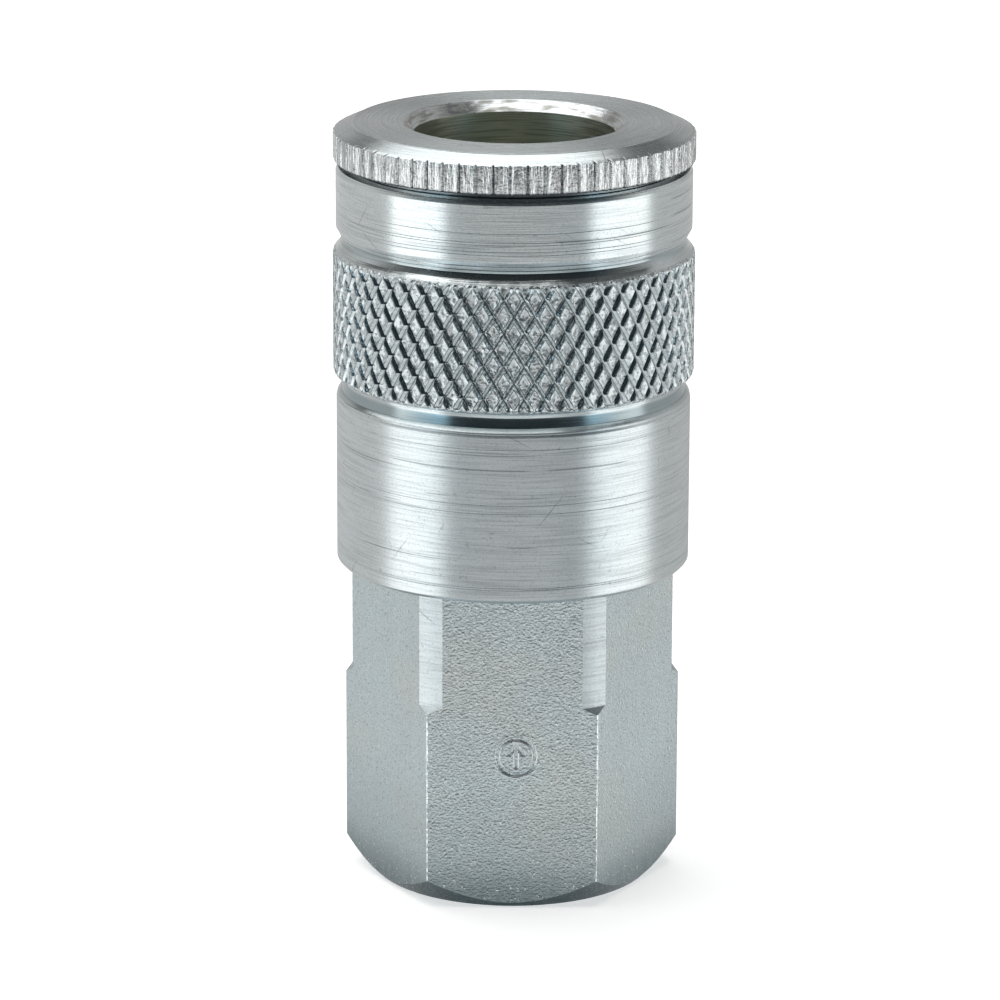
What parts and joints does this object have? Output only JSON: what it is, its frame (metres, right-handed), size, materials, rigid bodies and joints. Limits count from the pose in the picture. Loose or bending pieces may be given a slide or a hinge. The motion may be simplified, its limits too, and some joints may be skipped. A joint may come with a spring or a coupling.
{
  "type": "quick disconnect coupler",
  "caption": "Ball-locking quick coupler socket with a knurled pull-back sleeve, shut-off valve and hexagonal threaded end.",
  "frame": {"origin": "centre of the port end face, at the bottom of the hexagon", "axes": "+Z along the coupler's axis towards the plug mouth; the hexagon's flats face +Y and -Y"},
  "size_m": [0.0274, 0.0274, 0.0585],
  "materials": {
    "adapter_plating": "bright zinc plate over drawn and turned steel",
    "barrel_plating": "bright zinc plate over turned steel",
    "sleeve_plating": "bright zinc plate over turned and knurled steel",
    "washer_steel": "plain stamped",
    "spring_steel": "drawn wire",
    "ball_steel": "polished",
    "brass": "turned",
    "nitrile_rubber": "moulded, matte"
  },
  "bodies": {
    "body": {"hex_adapter": "adapter_plating", "socket_barrel": "barrel_plating", "spring_seat_washer": "washer_steel", "sleeve_spring": "spring_steel", "nipple_o_ring": "nitrile_rubber", "valve_seat_bush": "brass", "valve_guide": "brass", "valve_spring": "spring_steel", "adapter_o_ring": "nitrile_rubber"},
    "sleeve_carrier": {"sleeve_thrust_washer": "washer_steel"},
    "sleeve": {"sleeve": "sleeve_plating"},
    "valve": {"valve_poppet": "brass", "valve_seal": "nitrile_rubber", "valve_seal_retainer": "washer_steel"},
    "ball_1": {"ball_1": "ball_steel"},
    "ball_2": {"ball_2": "ball_steel"},
    "ball_3": {"ball_3": "ball_steel"},
    "ball_4": {"ball_4": "ball_steel"},
    "ball_5": {"ball_5": "ball_steel"},
    "ball_6": {"ball_6": "ball_steel"}
  },
  "joints": [
    {"name": "sleeve_slide", "type": "slide", "parent": "body", "child": "sleeve_carrier", "axis": [0, 0, -1], "range_m": [0, 0.005], "stiffness_N_per_m": 3000, "springref_m": -0.004, "deforming": ["sleeve_spring"]},
    {"name": "sleeve_turn", "type": "hinge", "parent": "sleeve_carrier", "child": "sleeve", "pos_m": [0, 0, 0.04], "axis": [0, 0, 1], "continuous": true},
    {"name": "valve_slide", "type": "slide", "parent": "body", "child": "valve", "axis": [0, 0, -1], "range_m": [0, 0.0045], "stiffness_N_per_m": 900, "springref_m": -0.003, "deforming": ["valve_spring"]},
    {"name": "ball_1_slide", "type": "slide", "parent": "body", "child": "ball_1", "axis": [0.866, 0.5, 0], "range_m": [0, 0.00125]},
    {"name": "ball_2_slide", "type": "slide", "parent": "body", "child": "ball_2", "axis": [0, 1, 0], "range_m": [0, 0.00125]},
    {"name": "ball_3_slide", "type": "slide", "parent": "body", "child": "ball_3", "axis": [-0.866, 0.5, 0], "range_m": [0, 0.00125]},
    {"name": "ball_4_slide", "type": "slide", "parent": "body", "child": "ball_4", "axis": [-0.866, -0.5, 0], "range_m": [0, 0.00125]},
    {"name": "ball_5_slide", "type": "slide", "parent": "body", "child": "ball_5", "axis": [0, -1, 0], "range_m": [0, 0.00125]},
    {"name": "ball_6_slide", "type": "slide", "parent": "body", "child": "ball_6", "axis": [0.866, -0.5, 0], "range_m": [0, 0.00125]}
  ],
  "couplings": [
    {"joint": "ball_1_slide", "follows": "sleeve_slide", "ratio": 0.25},
    {"joint": "ball_2_slide", "follows": "sleeve_slide", "ratio": 0.25},
    {"joint": "ball_3_slide", "follows": "sleeve_slide", "ratio": 0.25},
    {"joint": "ball_4_slide", "follows": "sleeve_slide", "ratio": 0.25},
    {"joint": "ball_5_slide", "follows": "sleeve_slide", "ratio": 0.25},
    {"joint": "ball_6_slide", "follows": "sleeve_slide", "ratio": 0.25}
  ]
}
